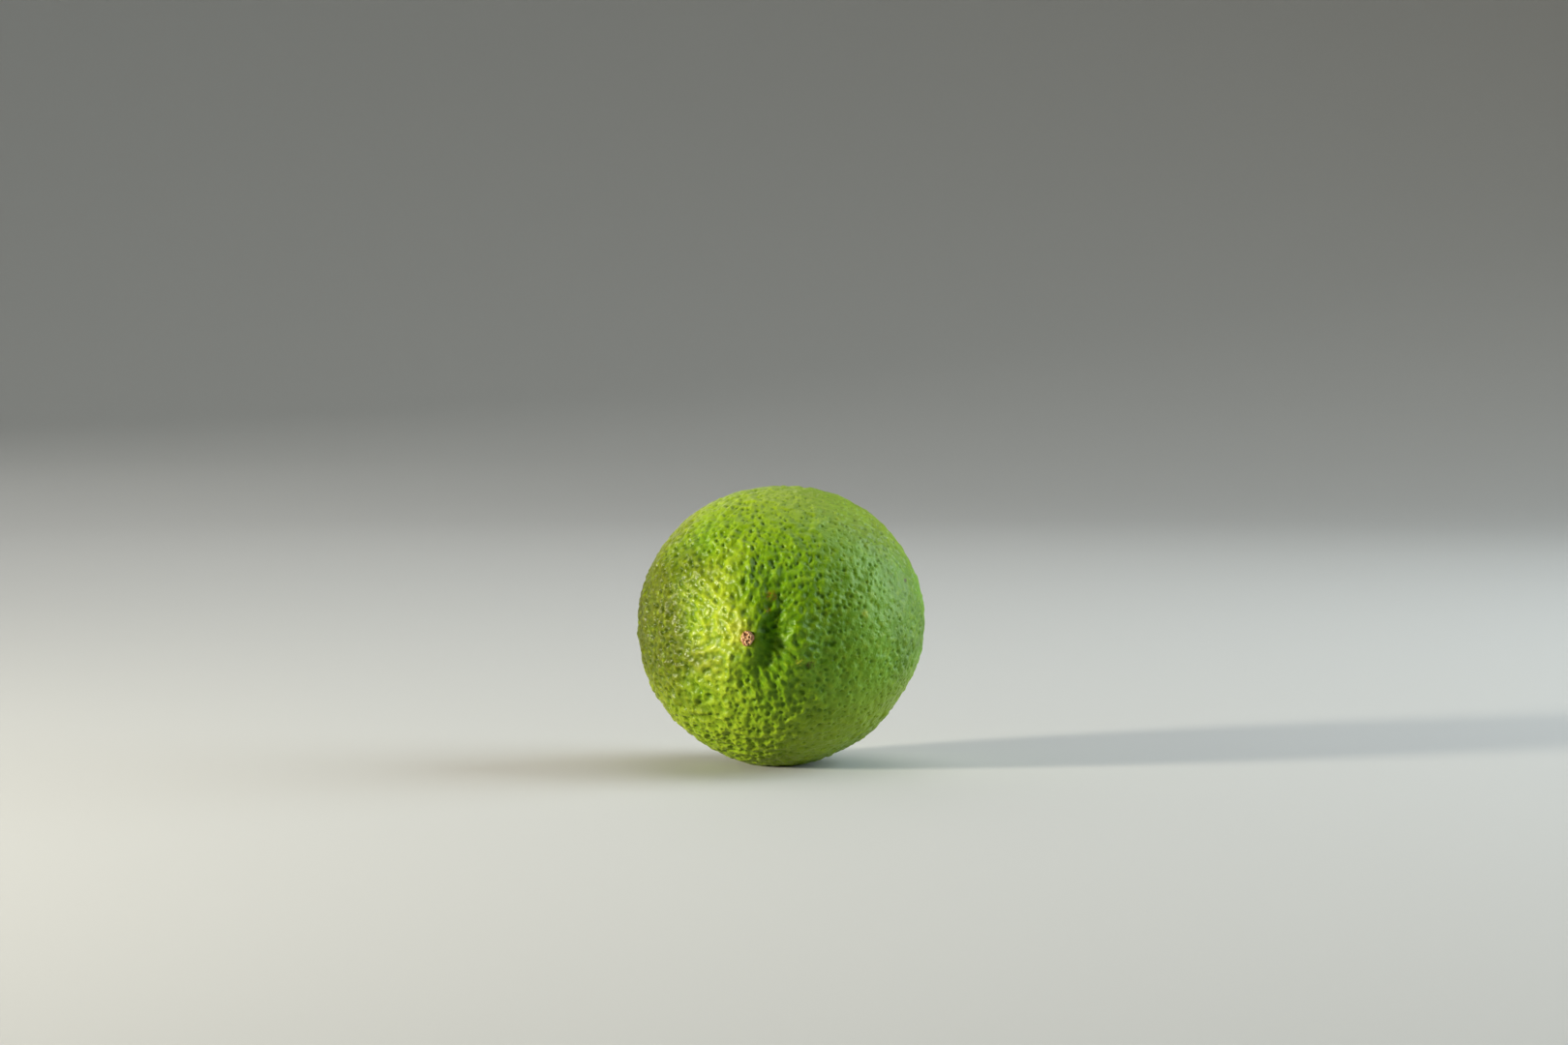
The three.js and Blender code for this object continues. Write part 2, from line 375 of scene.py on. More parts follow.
def skinRelief(body, turn, fromTip, coarse):
    # all of the relief but the dimples, in millimetres, and the cobbles alone
    right, up = fromTip * np.cos(turn), fromTip * np.sin(turn)
    drawn, wrinkles, seat = peel["drawnCobbles"], peel["wrinkles"], peel["tipSeat"]
    pull = (drawn["scale"] * (fromTip + drawn["offset"]) ** -drawn["power"])[:, None]
    nearTip = 1 - smoothStep(fromTip, *drawn["fade"])
    cobble = layerNoise(pull * np.stack([right, up], axis=1), drawn) * nearTip
    cobble = cobble + layerNoise(body, peel["cobbles"]) * (1 - nearTip)
    relief = peel["swell"]["height"] * layerNoise(body, peel["swell"])
    for name in ("lumps", "cobbles", "beads"):
        noise = cobble if name == "cobbles" else layerNoise(body, peel[name])
        relief += np.interp(coarse, (0, 1), peel[name]["height"]) * noise

    spokes = wrinkles["count"] / (2 * np.pi)
    ring = np.stack([np.cos(turn) * spokes, np.sin(turn) * spokes, fromTip * wrinkles["along"]], axis=1)
    reachIn = smoothStep(fromTip, *wrinkles["start"])
    reachOut = 1 - smoothStep(fromTip, *wrinkles["end"])
    relief += wrinkles["height"] * layerNoise(ring, wrinkles) * reachIn * reachOut
    relief += foldRelief(right, up) - seat["depth"] * bump(fromTip, seat["reach"])
    return relief, cobble


def makePeel():
    direction, quads, mapping = ballGrid(peel["gridSteps"])
    body = direction * skinRadius(direction)[:, None]
    turn, fromTip, fromStem = skinPlaces(direction)
    right, up = fromTip * np.cos(turn), fromTip * np.sin(turn)
    coarse = coarseness(direction)
    relief, cobble = skinRelief(body, turn, fromTip, coarse)

    tree = kdtree.KDTree(len(direction))
    for index, point in enumerate(direction):
        tree.insert(point, index)
    tree.balance()
    glands = pressDimples(direction, tree, peel["glands"])
    dimples = pressDimples(direction, tree, peel["dimples"])
    pores = pressDimples(direction, tree, peel["pores"])
    calm = smoothStep(fromStem, *peel["calmStem"]) * smoothStep(fromTip, *peel["calmTip"])
    pressed = (np.maximum(glands, dimples) + pores) * calm
    relief += pressed.mean() - pressed

    points = body + direction * relief[:, None] + fruitMiddle()
    points[:, 2] = np.maximum(points[:, 2], 0)  # it stands on the floor with its flat spot
    piece = meshFrom("lime_peel", points * mm, quads.tolist(), mapping)
    litPlace, aside = peel["litPatch"], peel["aside"]
    away = np.hypot((right - litPlace["right"]) / litPlace["width"], (up - litPlace["up"]) / litPlace["height"])
    bend = aside["bend"] * np.minimum(up ** 2, aside["bendEnd"] ** 2)
    told = {
        "dimple": np.clip(pressed / peel["deepest"], 0, 1),
        "ridge": np.clip(0.5 + peel["ridgeScale"] * cobble, 0, 1),
        "coarse": coarse,
        # where the pale highlight is painted
        "litPatch": bump(away + litPlace["uneven"] * layerNoise(body, litPlace), 1.0),
        # painted shade along the crease
        "crease": shadowInCrease(right, up),
        "aside": right + bend + aside["uneven"] * layerNoise(body, aside),
        "fromStem": fromStem, "right": right, "up": up,
    }
    for name, values in told.items():
        paintValue(piece, name, values)
    return piece


limePeel = makePeel()
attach(limePeel, "root")
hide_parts("fruit")
print("peel made with", len(limePeel.data.polygons), "faces")


def closedLoft(name, rings):
    # rings of equal length joined in order; a single middle point closes each end
    segments = len(rings[0])
    points = np.concatenate([rings[0].mean(0)[None]] + rings + [rings[-1].mean(0)[None]])
    last, beside = len(points) - 1, [(s + 1) % segments for s in range(segments)]
    faces = []
    for s in range(segments):
        faces.append((0, 1 + beside[s], 1 + s))
        for ring in range(len(rings) - 1):
            start = 1 + ring * segments
            faces.append((start + s, start + beside[s], start + segments + beside[s], start + segments + s))
        start = 1 + (len(rings) - 1) * segments
        faces.append((last, start + s, start + beside[s]))
    return meshFrom(name, points * mm, faces)


dryStyle = {
    "halfWidth": 1.16, "halfHeight": 1.40,  # millimetres
    "rise": 1.0, "sunk": 0.8,  # about how much of it stands out, and how much is set into the skin
    "faceBack": 0.12,  # from the part's foremost point to the face
    "rings": 30, "segments": 110,
    "outline": {"lobes": 3, "depth": 0.05, "turn": 0.6, "uneven": 0.035},
    "face": {"bowl": 0.10, "brow": 0.30, "browPower": 9, "rough": 0.03, "shade": 0.55, "uneven": 0.12},
    # hollows left where the style dried and broke off, seen from the tip
    # the last number of each cup is how strongly shade is painted into it
    "cups": [
        {"right": -0.10, "up": 0.72, "radius": 0.56, "depth": 0.30, "dark": 0.40},
        {"right": 0.58, "up": 0.36, "radius": 0.27, "depth": 0.50, "dark": 0.95},
        {"right": 0.36, "up": -0.62, "radius": 0.50, "depth": 0.26, "dark": 0.40},
        {"right": 0.46, "up": -1.00, "radius": 0.24, "depth": 0.30, "dark": 0.75},
        {"right": -0.12, "up": 0.20, "radius": 0.15, "depth": 0.18, "dark": 0.60},
        {"right": -0.72, "up": 0.34, "radius": 0.22, "depth": 0.14, "dark": 0.45},
    ],
    "cupEdge": {"start": 0.35, "uneven": 0.07},  # start is a share of the cup's radius
    "rim": {"at": 1.12, "width": 0.13, "height": 0.10, "shade": 0.45},
    "paleLobe": {"right": -1.05, "up": -0.34, "reach": 0.34, "height": 0.16, "shade": 0.5},
    "side": {"start": 1.02, "swell": 0.05, "swellEnd": 1.6, "taper": 0.10, "fibre": 0.02,
             "shade": 0.45, "fall": 0.3, "fibreShade": 3},
    "foot": {"share": 0.5, "shade": 0.1},
}


def makeDryStyle():
    lobes, face = dryStyle["outline"], dryStyle["face"]
    cupEdge, rimLook = dryStyle["cupEdge"], dryStyle["rim"]
    turn = np.arange(dryStyle["segments"]) / dryStyle["segments"] * 2 * np.pi
    circle = np.stack([np.cos(turn), np.sin(turn)], axis=1)
    outline = 1 + lobes["depth"] * np.cos(lobes["lobes"] * turn - lobes["turn"])
    outline = outline + lobes["uneven"] * waveNoise(circle * 3, 2.2, seed=21)
    edge = circle * np.array([dryStyle["halfWidth"], dryStyle["halfHeight"]]) * outline[:, None]
    styleMiddle = (styleLow + styleHigh) / 2 / mm
    faceY = styleLow.y / mm + dryStyle["faceBack"]  # the face looks towards -Y
    rings, shades, cupMasks = [], [], []

    def addRing(flat, y, shade, cup):
        rings.append(np.stack([styleMiddle.x + flat[:, 0], y, styleMiddle.z + flat[:, 1]], axis=1))
        shades.append(shade)
        cupMasks.append(cup)

    for ring in range(1, dryStyle["rings"] + 1):
        share = ring / dryStyle["rings"]
        flat = edge * share
        sunk = face["bowl"] * share ** 2 + face["brow"] * np.full(len(turn), share ** face["browPower"])
        shade = face["shade"] + face["uneven"] * waveNoise(flat, 0.5, seed=22)
        cup = np.zeros(len(turn))
        for hollow in dryStyle["cups"]:
            away = np.hypot(flat[:, 0] - hollow["right"], flat[:, 1] - hollow["up"])
            away = away + cupEdge["uneven"] * waveNoise(flat, 0.8, seed=25)
            inside = 1 - smoothStep(away, hollow["radius"] * cupEdge["start"], hollow["radius"])
            rim = bump(away - hollow["radius"] * rimLook["at"], rimLook["width"])
            sunk = sunk + hollow["depth"] * inside - rimLook["height"] * rim
            shade = shade + rimLook["shade"] * rim
            # cup holds the shade painted into the cups
            cup = np.maximum(cup, inside * hollow["dark"])
        lobe = dryStyle["paleLobe"]
        lift = bump(np.hypot(flat[:, 0] - lobe["right"], flat[:, 1] - lobe["up"]), lobe["reach"])
        sunk = sunk - lobe["height"] * lift + face["rough"] * waveNoise(flat, 0.42, seed=23)
        addRing(flat, faceY + sunk, shade + lobe["shade"] * lift, cup)

    side, foot, noCup = dryStyle["side"], dryStyle["foot"], np.zeros(len(turn))
    brow = rings[-1][:, 1]
    footY = faceY + dryStyle["rise"] + dryStyle["sunk"]
    fibre = side["fibre"] * waveNoise(circle * 9, 2.0, seed=24)
    for share in (0.04, 0.1, 0.2, 0.34, 0.5, 0.68, 0.84, 1.0):
        swell = side["swell"] * math.sin(math.pi * min(share * side["swellEnd"], 1))
        flat = edge * (side["start"] + swell - side["taper"] * share + fibre)[:, None]
        shade = side["shade"] - side["fall"] * share + side["fibreShade"] * fibre
        addRing(flat, brow + (footY - brow) * share, shade, noCup)
    addRing(edge * foot["share"], np.full(len(turn), footY), np.full(len(turn), foot["shade"]), noCup)

    piece = closedLoft("dry_style", rings)
    ends = [(shades[0].mean(), shades[-1].mean()), (cupMasks[0].mean(), 0.0)]
    for name, values, (start, end) in zip(("shade", "cup"), (shades, cupMasks), ends):
        paintValue(piece, name, np.clip(np.concatenate([[start], *values, [end]]), 0, 1))
    return piece


dryStylePiece = makeDryStyle()
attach(dryStylePiece, "root")
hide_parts("style_stub")
print("dry style made with", len(dryStylePiece.data.polygons), "faces")


calyx = {
    "segments": 150,
    "lobes": 5, "outer": 3.75, "inner": 2.5,  # millimetres, tips and notches of the star
    "thick": 0.62, "edgeThick": 0.26, "sunk": 0.14,
    "curl": 0.16,  # how far the tips lift off the skin
    "stalkRadius": 1.3, "fillet": 0.5, "ridges": 15,
    "lobePower": 0.85,
    "uneven": {"turn": 0.35, "tips": 0.05, "ridges": 1.5},
    # the cut face isn't quite square, has a soft pith in its middle and a ring round it
    "cut": {"below": 0.06, "slant": 0.10, "slantTurn": 0.8, "grain": 0.025, "pith": 0.10, "pithReach": 0.22,
            "ring": 0.05, "ringAt": 0.66, "ringWidth": 0.1, "ringShown": 0.12},
    "worn": {"reach": 0.96, "round": 0.05, "below": 0.08, "drop": 0.12, "edge": 0.6},
    "stalk": {"below": 0.2, "top": 1.01, "flare": 0.06, "foot": 1.07, "ridge": 0.035, "footRidge": 0.03},
    "lobe": {"midrib": 0.07, "midribWidth": 0.22, "ridge": 0.022, "rough": 0.02},
}


def hollowSurface(distance, turn):
    # the bare skin's place along the axis at a distance from it, in millimetres
    polar = np.pi - distance / meanRadius
    ring = [np.sin(polar) * np.cos(turn), -np.cos(polar), np.sin(polar) * np.sin(turn)]
    direction = np.stack(ring, axis=1)
    return fruitMiddle()[1] + direction[:, 1] * skinRadius(direction)


def makeCalyx():
    cut, worn, side, lobe = calyx["cut"], calyx["worn"], calyx["stalk"], calyx["lobe"]
    uneven, fillet = calyx["uneven"], calyx["fillet"]
    turn = np.arange(calyx["segments"]) / calyx["segments"] * 2 * np.pi
    circle = np.stack([np.cos(turn), np.sin(turn)], axis=1)
    stalk, topY = calyx["stalkRadius"], buttonHigh.y / mm
    axisX, _, axisZ = fruitMiddle()
    lobeTurn = calyx["lobes"] * turn + uneven["turn"] * waveNoise(circle * 2, 2.5, seed=33)
    lobeWave = 0.5 + 0.5 * np.cos(lobeTurn)
    tipReach = calyx["outer"] * (1 + uneven["tips"] * waveNoise(circle * 1.5, 2.5, seed=31))
    reach = calyx["inner"] + (tipReach - calyx["inner"]) * lobeWave ** calyx["lobePower"]
    fibre = np.cos(calyx["ridges"] * turn + uneven["ridges"] * waveNoise(circle * 2, 2.0, seed=32))
    rings, cutFaces, edges, veins = [], [], [], []

    def addRing(distance, y, cutFace=0.0, edge=0.0, vein=0.0):
        away = np.broadcast_to(distance, turn.shape)
        height = np.broadcast_to(y, turn.shape)
        rings.append(np.stack([axisX + away * circle[:, 0], height, axisZ + away * circle[:, 1]], axis=1))
        for store, value in ((cutFaces, cutFace), (edges, edge), (veins, vein)):
            store.append(np.broadcast_to(value, turn.shape))

    slant = cut["slant"] * np.cos(turn - cut["slantTurn"])
    for share in (0.06, 0.14, 0.24, 0.36, 0.48, 0.6, 0.7, 0.79, 0.87, 0.94):  # cut face
        distance = stalk * share
        grain = cut["grain"] * waveNoise(circle * distance * 3, 1.1, seed=34)
        grain = grain - cut["pith"] * bump(share, cut["pithReach"])
        grain = grain + cut["ring"] * bump(share - cut["ringAt"], cut["ringWidth"])
        ringShown = 0.5 + 0.5 * bump(share - cut["ringAt"], cut["ringShown"])
        addRing(distance, topY - cut["below"] + grain - slant * share, cutFace=1.0, vein=ringShown)
    for share in (0.25, 0.6, 1.0):  # its worn edge
        angle = share * math.pi / 2
        y = topY - worn["below"] - worn["drop"] * (1 - math.cos(angle)) - slant
        distance = stalk * (worn["reach"] + worn["round"] * math.sin(angle))
        addRing(distance, y, cutFace=1 - share, edge=worn["edge"])
    neckY = hollowSurface(np.full(len(turn), stalk + fillet), turn) + calyx["thick"]
    start = topY - side["below"] - slant
    for share in np.linspace(0.1, 1, 10):  # side of the stalk
        distance = stalk * (side["top"] + side["flare"] * share) + side["ridge"] * fibre
        addRing(distance, start + (neckY + fillet - start) * share, vein=0.5 + 0.5 * fibre)
    for share in np.linspace(0.2, 1, 5):  # fillet at its foot
        angle = share * math.pi / 2
        distance = stalk * side["foot"] + fillet * (1 - math.cos(angle)) + side["footRidge"] * fibre
        addRing(distance, neckY + fillet * (1 - math.sin(angle)), vein=0.5 + 0.5 * fibre)
    neck = stalk * side["foot"] + fillet
    midrib = bump(np.sin(calyx["lobes"] * turn / 2), lobe["midribWidth"]) * lobeWave
    for share in np.linspace(0.07, 0.96, 14):  # upper side of the lobes
        distance = neck + (reach - neck) * share
        thick = calyx["thick"] + (calyx["edgeThick"] - calyx["thick"]) * share
        vein = lobe["midrib"] * midrib * (1 - share) + lobe["ridge"] * fibre
        vein = vein + lobe["rough"] * waveNoise(circle * distance[:, None], 0.9, seed=35)
        y = hollowSurface(distance, turn) + thick + vein + calyx["curl"] * lobeWave * share ** 2
        addRing(distance, y, edge=share ** 4, vein=0.5 + 0.3 * fibre + 0.3 * midrib)
    rimY = hollowSurface(reach, turn) + calyx["curl"] * lobeWave
    half = calyx["edgeThick"] / 2
    for share in (0.2, 0.5, 0.8, 1.0):  # round edge
        angle = math.pi * share
        addRing(reach + half * math.sin(angle) - 0.03, rimY + half + half * math.cos(angle), edge=1.0)
    for share in (0.92, 0.8, 0.62, 0.4, 0.18):  # underside, pressed a little into the skin
        distance = reach * share
        y = hollowSurface(distance, turn) - calyx["sunk"] * (1 - share ** 3)
        addRing(distance, y + calyx["curl"] * lobeWave * share ** 6, edge=0.5)

    piece = closedLoft("calyx", rings[::-1])
    for name, values in (("cutFace", cutFaces), ("edge", edges), ("vein", veins)):
        values = values[::-1]
        paintValue(piece, name, np.clip(np.concatenate([values[0][:1], *values, values[-1][:1]]), 0, 1))
    return piece


calyxPiece = makeCalyx()
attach(calyxPiece, "root")
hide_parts("calyx_button")
print("calyx made with", len(calyxPiece.data.polygons), "faces")


def addNode(tree, kind, place, **settings):
    node = tree.nodes.new(kind)
    node.location = place
    for name, value in settings.items():
        setattr(node, name, value)
    return node


def feed(tree, socket, value):
    # value may be a socket, a number, a vector or a colour
    if isinstance(value, bpy.types.NodeSocket):
        tree.links.new(value, socket)
    elif socket.type == "RGBA":
        socket.default_value = (*value, 1)
    else:
        socket.default_value = value


def mixColours(tree, place, mask, first, second, blend="MIX"):
    node = addNode(tree, "ShaderNodeMix", place, data_type="RGBA", blend_type=blend)
    for socket, value in ((node.inputs[0], mask), (node.inputs[6], first), (node.inputs[7], second)):
        feed(tree, socket, value)
    return node.outputs[2]


def calculate(tree, place, operation, first, second=0.0):
    node = addNode(tree, "ShaderNodeMath", place, operation=operation)
    feed(tree, node.inputs[0], first)
    feed(tree, node.inputs[1], second)
    return node.outputs[0]


def fade(tree, place, value, low, high, start=0.0, end=1.0):
    node = addNode(tree, "ShaderNodeMapRange", place, interpolation_type="SMOOTHSTEP")
    numbers = {"Value": value, "From Min": low, "From Max": high, "To Min": start, "To Max": end}
    for name, number in numbers.items():
        feed(tree, node.inputs[name], number)
    return node.outputs["Result"]


def painted(tree, place, name):
    return addNode(tree, "ShaderNodeAttribute", place, attribute_name=name).outputs["Fac"]


def millimetres(tree, place):
    here = addNode(tree, "ShaderNodeTexCoord", (place[0] - 200, place[1])).outputs["Object"]
    node = addNode(tree, "ShaderNodeVectorMath", place, operation="SCALE")
    feed(tree, node.inputs[0], here)
    feed(tree, node.inputs["Scale"], 1 / mm)
    return node.outputs[0]


def newGroup(name, inputs, outputs):
    group = bpy.data.node_groups.new(name, "ShaderNodeTree")
    for label, kind in inputs:
        group.interface.new_socket(name=label, in_out="INPUT", socket_type="NodeSocket" + kind)
    for label, kind in outputs:
        group.interface.new_socket(name=label, in_out="OUTPUT", socket_type="NodeSocket" + kind)
    start = addNode(group, "NodeGroupInput", (-900, 0))
    end = addNode(group, "NodeGroupOutput", (700, 0))
    return group, start.outputs, end.inputs


def useGroup(tree, place, group, **values):
    node = addNode(tree, "ShaderNodeGroup", place, node_tree=group)
    for name, value in values.items():
        feed(tree, node.inputs[name], value)
    return node.outputs[0]


def makePatches():
    # soft cloudy patches, about Size millimetres across
    group, start, end = newGroup("patches", [("Vector", "Vector"), ("Size", "Float"), ("Low", "Float"),
                                             ("High", "Float")], [("Mask", "Float")])
    noise = addNode(group, "ShaderNodeTexNoise", (-300, 0))
    feed(group, noise.inputs["Vector"], start["Vector"])
    feed(group, noise.inputs["Scale"], calculate(group, (-600, -100), "DIVIDE", 1.0, start["Size"]))
    feed(group, noise.inputs["Detail"], 3.0)
    feed(group, end["Mask"], fade(group, (200, 0), noise.outputs[0], start["Low"], start["High"]))
    return group


def makeSpecks():
    # small round spots in some of the cells of a grid, Size is their radius as a share of the cell
    group, start, end = newGroup("specks", [("Vector", "Vector"), ("Spacing", "Float"), ("Size", "Float"),
                                            ("Share", "Float")], [("Mask", "Float")])
    cells = addNode(group, "ShaderNodeTexVoronoi", (-300, 0))
    feed(group, cells.inputs["Vector"], start["Vector"])
    feed(group, cells.inputs["Scale"], calculate(group, (-600, -100), "DIVIDE", 1.0, start["Spacing"]))
    pick = addNode(group, "ShaderNodeSeparateColor", (-100, -200))
    feed(group, pick.inputs[0], cells.outputs["Color"])
    chosen = calculate(group, (100, -200), "LESS_THAN", pick.outputs[0], start["Share"])
    half = calculate(group, (-100, -400), "MULTIPLY", start["Size"], 0.4)
    spot = fade(group, (100, 0), cells.outputs["Distance"], half, start["Size"], 1.0, 0.0)
    feed(group, end["Mask"], calculate(group, (400, 0), "MULTIPLY", spot, chosen))
    return group


def makeGrain():
    # the finest relief of a living surface: rounded grains with a softer swell under them
    group, start, end = newGroup("fine grain", [("Vector", "Vector"), ("Size", "Float"),
                                                ("Roundness", "Float")], [("Height", "Float")])
    rate = calculate(group, (-600, -100), "DIVIDE", 1.0, start["Size"])
    grains = addNode(group, "ShaderNodeTexVoronoi", (-300, 100), feature="SMOOTH_F1")
    feed(group, grains.inputs["Vector"], start["Vector"])
    feed(group, grains.inputs["Scale"], rate)
    feed(group, grains.inputs["Smoothness"], 0.6)
    swell = addNode(group, "ShaderNodeTexNoise", (-300, -200))
    feed(group, swell.inputs["Vector"], start["Vector"])
    feed(group, swell.inputs["Scale"], rate)
    feed(group, swell.inputs["Detail"], 3.0)
    domes = calculate(group, (0, 100), "SUBTRACT", 1.0, grains.outputs["Distance"])
    domes = calculate(group, (200, 100), "MULTIPLY", domes, start["Roundness"])
    feed(group, end["Height"], calculate(group, (400, 0), "ADD", domes, swell.outputs[0]))
    return group


patches, specks, fineGrain = makePatches(), makeSpecks(), makeGrain()
print("shared effects made")


def newMaterial(name):
    material = bpy.data.materials.new(name)
    material.use_nodes = True
    tree = material.node_tree
    tree.nodes.clear()
    shader = addNode(tree, "ShaderNodeBsdfPrincipled", (1500, 0))
    output = addNode(tree, "ShaderNodeOutputMaterial", (1800, 0))
    tree.links.new(shader.outputs[0], output.inputs[0])
    return material, tree, shader


def addRelief(tree, shader, height, depth):
    # depth in millimetres
    node = addNode(tree, "ShaderNodeBump", (1200, -500))
    node.inputs["Distance"].default_value = depth * mm
    tree.links.new(height, node.inputs["Height"])
    tree.links.new(node.outputs[0], shader.inputs["Normal"])


def finishSurface(tree, shader, here, uneven, look):
    # a roughness that varies with uneven, and the finest relief
    feed(tree, shader.inputs["Roughness"], fade(tree, (900, -300), uneven, 0.0, 1.0, *look["roughness"]))
    grain = useGroup(tree, (600, -500), fineGrain, Vector=here, **look["grain"])
    addRelief(tree, shader, grain, look["grainDepth"])


def addSpecks(tree, here, colour, look, tone, x):
    dots = useGroup(tree, (-900, -200), specks, Vector=here, **look["specks"])
    mask = calculate(tree, (x, -200), "MULTIPLY", dots, look["speckStrength"])
    return mixColours(tree, (200, 200), mask, colour, look[tone])


peelFinish = {
    "green": (0.140, 0.270, 0.002),
    "deepGreen": (0.108, 0.225, 0.001),
    # paler, bluer green on the right side: a painted cool sheen where the cool side lamp falls
    "coolSheenGreen": (0.148, 0.300, 0.016),
    # darker green at the far right: painted shade along the right rim
    "rightRimShade": (0.095, 0.185, 0.010),
    # paler green towards the top and the bottom: painted light
    "paintedLightGreen": (0.258, 0.335, 0.018),
    # pale yellow-green: a painted highlight left of the tip
    "highlightGreen": (0.290, 0.360, 0.010),
    # dull olive on the left side: painted shade
    "leftShadeOlive": (0.080, 0.092, 0.001),
    # darker olive at the left rim: painted shade
    "leftRimShade": (0.048, 0.056, 0.001),
    "ridgeGreen": (0.300, 0.400, 0.012),
    # painted shade between the ridges where the skin is coarse
    "shadeInValleys": (0.62, 0.72, 0.50),  # these three darken whatever lies under them
    # darker in the dimples: the oil glands' own deeper green, with painted shade on top
    "inDimples": (0.64, 0.74, 0.55),
    # painted shade in the crease
    "shadowInCrease": (0.42, 0.58, 0.40),
    "stemGreen": (0.230, 0.300, 0.040),
    "yellow": (0.520, 0.480, 0.040),
    "cork": (0.560, 0.560, 0.160),
    "rust": (0.300, 0.140, 0.010),
    "brown": (0.070, 0.050, 0.008),
    "clouds": {"Size": 9.0, "Low": 0.35, "High": 0.7},
    "mottle": {"Size": 1.1, "Low": 0.45, "High": 0.75}, "mottleStrength": 0.35,
    "valley": (0.8, 0.15, 0.0, 0.8),  # ridge value where it starts and is full, then the strength at both
    "dimple": (0.15, 1.0),
    "stem": (4.0, 16.0, 0.7, 0.0),
    "specks": {"Spacing": 3.1, "Size": 0.10, "Share": 0.22}, "speckStrength": 0.5,
    "crumbs": {"Size": 0.42, "Low": 0.46, "High": 0.62}, "markCore": 0.35,
    "uneven": {"Size": 2.4, "Low": 0.3, "High": 0.7},
    "roughness": (0.32, 0.46),
    "shine": 0.17, "litPatchShine": 0.30,
    "creaseShine": 0.3,  # what is left of the shine in the crease
    "grain": {"Size": 0.42, "Roundness": 0.6}, "grainDepth": 0.075,  # sizes in millimetres
    "subsurface": {"Weight": 0.05, "Radius": (0.9, 1.2, 0.2), "Scale": 0.0008},
}

# tones of the regions, all painted light and shade, laid on in this order: the painted value that
# leads each, where along it the tone changes, its strength at both places, and where a second fade ends it
regions = [
    # painted cool sheen down the right side
    {"tone": "coolSheenGreen", "lead": "aside", "between": (8.0, 26.0), "strength": (0.0, 1.0)},
    # painted highlight left of the tip
    {"tone": "highlightGreen", "lead": "litPatch", "between": (0.0, 1.0), "strength": (0.0, 0.95)},
    # painted shade down the left side, darker still at its rim
    {"tone": "leftShadeOlive", "lead": "aside", "between": (-19.0, -5.0), "strength": (0.9, 0.0),
     "ends": (-54.0, -36.0, 0.0, 1.0)},
    {"tone": "leftRimShade", "lead": "aside", "between": (-38.0, -20.0), "strength": (0.7, 0.0),
     "ends": (-54.0, -36.0, 0.0, 1.0)},
    # painted shade along the right rim
    {"tone": "rightRimShade", "lead": "aside", "between": (27.0, 38.0), "strength": (0.0, 0.8),
     "ends": (38.0, 54.0, 1.0, 0.0)},
    # painted light towards the bottom, then towards the top
    {"tone": "paintedLightGreen", "lead": "up", "between": (-24.0, -5.0), "strength": (0.6, 0.0)},
    {"tone": "paintedLightGreen", "lead": "up", "between": (14.0, 34.0), "strength": (0.0, 0.6)},
]

# marks on the skin; right and up are millimetres along it from the tip
marks = [
    {"right": -1.5, "up": 1.1, "reach": 3.2, "colour": "yellow", "strength": 0.28, "broken": 0.4},
    {"right": 0.0, "up": 0.0, "reach": 1.6, "colour": "rust", "strength": 0.4, "broken": 0.3},
    {"right": 3.9, "up": 7.7, "reach": 1.5, "colour": "rust", "strength": 0.6, "broken": 0.8},
    {"right": 3.4, "up": 5.0, "reach": 1.0, "colour": "rust", "strength": 0.5, "broken": 0.9},
    {"right": 9.2, "up": -4.4, "reach": 1.2, "colour": "yellow", "strength": 0.55, "broken": 0.95},
    {"right": 11.2, "up": -5.2, "reach": 1.3, "colour": "brown", "strength": 0.8, "broken": 0.8},
    {"right": 22.6, "up": 4.6, "reach": 1.1, "colour": "yellow", "strength": 0.5, "broken": 0.6},
    {"right": 35.4, "up": 13.3, "reach": 0.8, "colour": "brown", "strength": 0.9, "broken": 0.2},
    {"right": -15.2, "up": 7.9, "reach": 4.5, "colour": "cork", "strength": 0.15, "broken": 1.0},
]


